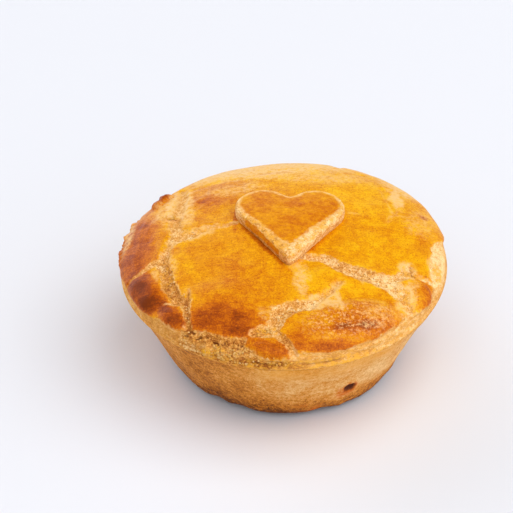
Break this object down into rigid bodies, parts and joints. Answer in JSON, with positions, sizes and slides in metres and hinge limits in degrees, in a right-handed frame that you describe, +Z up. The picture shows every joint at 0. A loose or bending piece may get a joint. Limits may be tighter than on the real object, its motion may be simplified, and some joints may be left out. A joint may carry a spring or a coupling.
{
  "type": "chicken pie",
  "caption": "Individual round baked pie: tapered shortcrust case, domed egg-glazed lid with cracked crust, and a pastry heart laid on top.",
  "frame": {"origin": "middle of the flat base, on the surface that the pie stands on", "axes": "+Z up through the lid, -Y towards the front, where the tip of the heart points, +X to the right seen from the front"},
  "size_m": [0.0867, 0.0875, 0.0421],
  "materials": {
    "baked_pastry": null,
    "glazed_pastry": null
  },
  "bodies": {
    "root": {"pastry_case": "baked_pastry", "pastry_lid": "glazed_pastry", "pastry_heart": "glazed_pastry"}
  },
  "joints": []
}
